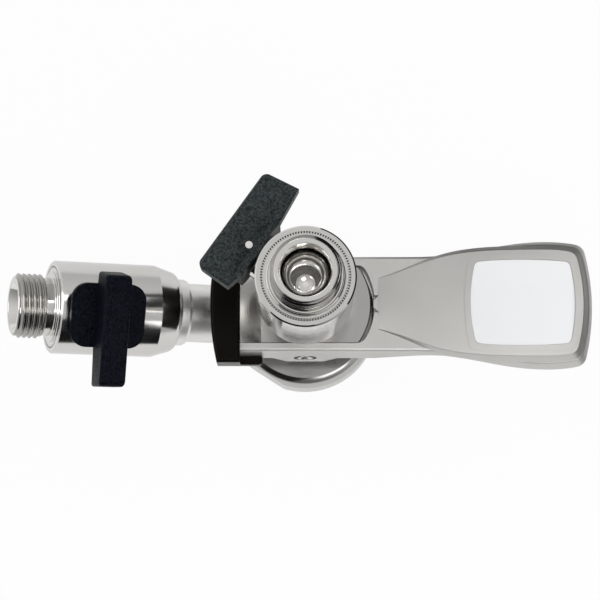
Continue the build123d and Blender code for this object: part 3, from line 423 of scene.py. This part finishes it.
def head_knurl(line, mount, body, steel):
    """Knurled ring round the edge of a valve's head, with painted shade between its teeth."""
    middle, axis, crest, start, tip, face, inner = end_place(line, mount)
    root, crown = HEAD_R - KNURL_WIDE + KNURL_SET, HEAD_R + CROWN
    foot = face - KNURL_HIGH + TOOTH_FOOT

    def teeth_relief(r, h, a):
        """Knurl: the outer radius swings between two values, one tooth per swing."""
        swing = 0.5 + 0.5 * np.tanh(3 * np.cos(TEETH * a))
        gap = root + TOOTH_FOOT
        return np.where(r > HEAD_R, gap + (r - gap) * swing, r)

    profile = [(root, foot), (crown, foot), (crown, face), (root, face)]
    knurl = lathe(f"{line}_head_knurl", profile, middle, axis, (0, 1, 0), TEETH * TOOTH_STEPS,
                  teeth_relief)
    paint(knurl, steel, "dark_steel")
    # Painted shade: faces in the gaps between the teeth get the near-black steel.
    turn = np.repeat(np.arange(TEETH * TOOTH_STEPS), len(profile)) / TOOTH_STEPS * 2 * math.pi
    knurl.data.polygons.foreach_set("material_index", (np.cos(turn) < 0.2).astype(np.int32))
    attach(knurl, body)


for valve in (("beer", "beer_outlet", "probe", "turned_end"),
              ("gas", "gas_inlet", "housing", "gas_valve_steel")):
    valve_end(*valve)
    head_knurl(*valve)

# ---- Grip spring --------------------------------------------------------------------------
WIRE_R = 0.35 * MM
COIL_TURNS = 4
COIL_STEPS, WIRE_STEPS = 40, 12


def latch_coil():
    """The grip's spring as round wire along x.  A point is (x + WIRE_R sin b, (reach + WIRE_R cos
    b) (cos a, sin a) from the axis), where a runs COIL_TURNS times round while x runs the coil's
    length, and b runs round the wire."""
    low, high = (np.array(corner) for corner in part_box("latch_spring"))
    middle = (low + high) / 2
    reach = (high[1] - low[1]) / 2 - WIRE_R
    b, t = np.meshgrid(np.linspace(0, 2 * math.pi, WIRE_STEPS, endpoint=False),
                       np.linspace(0, 1, COIL_TURNS * COIL_STEPS))
    a = 2 * math.pi * COIL_TURNS * t
    x = low[0] + WIRE_R + (high[0] - low[0] - 2 * WIRE_R) * t + WIRE_R * np.sin(b)
    r = reach + WIRE_R * np.cos(b)
    points = np.stack([x, middle[1] + r * np.cos(a), middle[2] + r * np.sin(a)], axis=-1)
    rows, columns = x.shape
    corners = np.arange(rows * columns).reshape(rows, columns)
    ends = [corners[0].tolist(), corners[-1, ::-1].tolist()]
    piece = mesh_piece("latch_spring_coil", points, grid_faces(rows, columns, False) + ends, 50)
    paint(piece, SLOTS["latch_spring"])
    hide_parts("latch_spring")
    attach(piece, "lever")
    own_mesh(piece)


latch_coil()

# ---- Floor and cards ----------------------------------------------------------------------
FLOOR_HALF = 2.5
FLOOR_WHITE = 0.93
WHITE_IN_METAL = {"floor": 0.35, "sky": 0.1}
low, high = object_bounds()
FLOOR_Z = low.z - 0.5 * MM
CARD_Z = FLOOR_Z + 10 * MM


def panel(name, corners):
    """A flat four-sided panel of the studio."""
    mesh = bpy.data.meshes.new(name)
    mesh.from_pydata(corners, [], [(0, 1, 2, 3)])
    piece = bpy.data.objects.new(name, mesh)
    bpy.context.scene.collection.objects.link(piece)
    return piece


def seen_share(tree, in_metal):
    """How much of plain white a ray sees: all of it for the camera, a share in metal and glass."""
    path = tree.nodes.new("ShaderNodeLightPath").outputs
    either = math_step(tree, "MAXIMUM", path["Is Glossy Ray"], path["Is Transmission Ray"])
    part = math_step(tree, "MULTIPLY", either, in_metal)
    return math_step(tree, "MAXIMUM", path["Is Camera Ray"], part)


def studio_material(name, color):
    """Matt paper or cloth of the studio, its shade drifting a little."""
    material = bpy.data.materials.new(name)
    material.use_nodes = True
    tree = material.node_tree
    shader = tree.nodes["Principled BSDF"]
    shader.inputs["Roughness"].default_value = 0.9
    shader.inputs["Specular IOR Level"].default_value = 0.0
    tree.links.new(drifting(tree, color, 0.01, 3), shader.inputs["Base Color"])
    return material


def mix_in(tree, share, base, white, end):
    """Mixes a plain white over a base shader by a share, into the end socket."""
    mix = tree.nodes.new("ShaderNodeMixShader")
    feed(tree, mix.inputs, [share, base, white])
    tree.links.new(mix.outputs[0], end)


floor = panel("floor", [(-FLOOR_HALF, -FLOOR_HALF, FLOOR_Z), (FLOOR_HALF, -FLOOR_HALF, FLOOR_Z),
                        (FLOOR_HALF, FLOOR_HALF, FLOOR_Z), (-FLOOR_HALF, FLOOR_HALF, FLOOR_Z)])
paper = studio_material("paper", (0.88, 0.88, 0.88))
tree = paper.node_tree
glow = tree.nodes.new("ShaderNodeEmission")
glow.inputs["Color"].default_value = (1, 1, 1, 1)
share = math_step(tree, "MULTIPLY", seen_share(tree, WHITE_IN_METAL["floor"]), FLOOR_WHITE)
mix_in(tree, share, tree.nodes["Principled BSDF"].outputs[0], glow.outputs[0],
       tree.nodes["Material Output"].inputs["Surface"])
floor.data.materials.append(paper)

# Dark cards stand round the object, unseen by the camera, so that metal edges have contrast.
CARDS = {
    "card_near": [(-0.16, -0.11, 0.025), (-0.026, -0.11, 0.025), (0.07, -0.16, 0.25),
                  (-0.16, -0.16, 0.25)],
    "card_far": [(0.03, 0.09, CARD_Z), (0.45, 0.09, CARD_Z), (0.45, 0.13, 0.26),
                 (0.03, 0.13, 0.26)],
    "card_right": [(0.20, -0.12, CARD_Z), (0.20, 0.16, CARD_Z), (0.24, 0.16, 0.24),
                   (0.24, -0.12, 0.24)],
}
felt = studio_material("felt", (0.012, 0.012, 0.013))
for name, corners in CARDS.items():
    card = panel(name, corners)
    card.visible_camera = False
    card.visible_shadow = False
    card.visible_diffuse = False
    card.data.materials.append(felt)

# ---- World, lamps and camera --------------------------------------------------------------
# The sky's strength towards x, y and z, the same on both sides, and what the far side adds.
SKY_BY_AXIS = (0.85, 0.30, 0.62)
SKY_FAR_SIDE = (0, 0.25, 0)

world = bpy.data.worlds.new("studio")
bpy.context.scene.world = world
world.use_nodes = True
sky = world.node_tree
room = sky.nodes["Background"]
room.inputs["Color"].default_value = (1, 1, 1, 1)
toward = sky.nodes.new("ShaderNodeTexCoord").outputs["Generated"]
squares = vector_step(sky, "MULTIPLY", toward, toward)
level = math_step(sky, "ADD", vector_step(sky, "DOT_PRODUCT", squares, SKY_BY_AXIS),
                  vector_step(sky, "DOT_PRODUCT", toward, SKY_FAR_SIDE))
sky.links.new(level, room.inputs["Strength"])
white = sky.nodes.new("ShaderNodeBackground")
white.inputs["Strength"].default_value = 1.0
white.inputs["Color"].default_value = (1, 1, 1, 1)
mix_in(sky, seen_share(sky, WHITE_IN_METAL["sky"]), room.outputs[0], white.outputs[0],
       sky.nodes["World Output"].inputs["Surface"])


def lamp(name, place, target, size, watts):
    """A soft area lamp at a place, turned to a target, or lying flat if it has none."""
    data = bpy.data.lights.new(name, "AREA")
    data.shape = "RECTANGLE"
    data.size, data.size_y = size
    data.energy = watts
    light = bpy.data.objects.new(name, data)
    bpy.context.scene.collection.objects.link(light)
    light.location = place
    if target:
        aim = Vector(target) - Vector(place)
        light.rotation_euler = aim.to_track_quat("-Z", "Y").to_euler()


MIDDLE = (0, 0, 0.05)
# Place, target, size in metres and power in watts.
lamp("key_above", (0.85, 0.49, 1.5), None, (0.6, 0.36), 1.8)
lamp("key_near", (0.2, -0.52, 1.2), MIDDLE, (0.4, 0.4), 3)
lamp("softbox_near", (0.5, -0.9, 0.8), MIDDLE, (0.6, 0.4), 1.5)
lamp("softbox_left", (-1.2, 0.1, 0.9), MIDDLE, (0.8, 0.8), 4)
lamp("softbox_right", (1.3, -0.3, 0.9), MIDDLE, (0.8, 0.8), 3)

CAMERA_PLACE = (-0.00224, -0.1270, 1.0099)
CAMERA_TILT = 7.7
camera_data = bpy.data.cameras.new("camera")
camera_data.lens = 133.8
camera_data.sensor_width = 36
camera_data.clip_start = 0.05
camera = bpy.data.objects.new("camera", camera_data)
camera.location = CAMERA_PLACE
camera.rotation_euler = (math.radians(CAMERA_TILT), 0, 0)
bpy.context.scene.collection.objects.link(camera)
bpy.context.scene.camera = camera
bpy.context.scene.view_settings.view_transform = "Standard"

note_size()
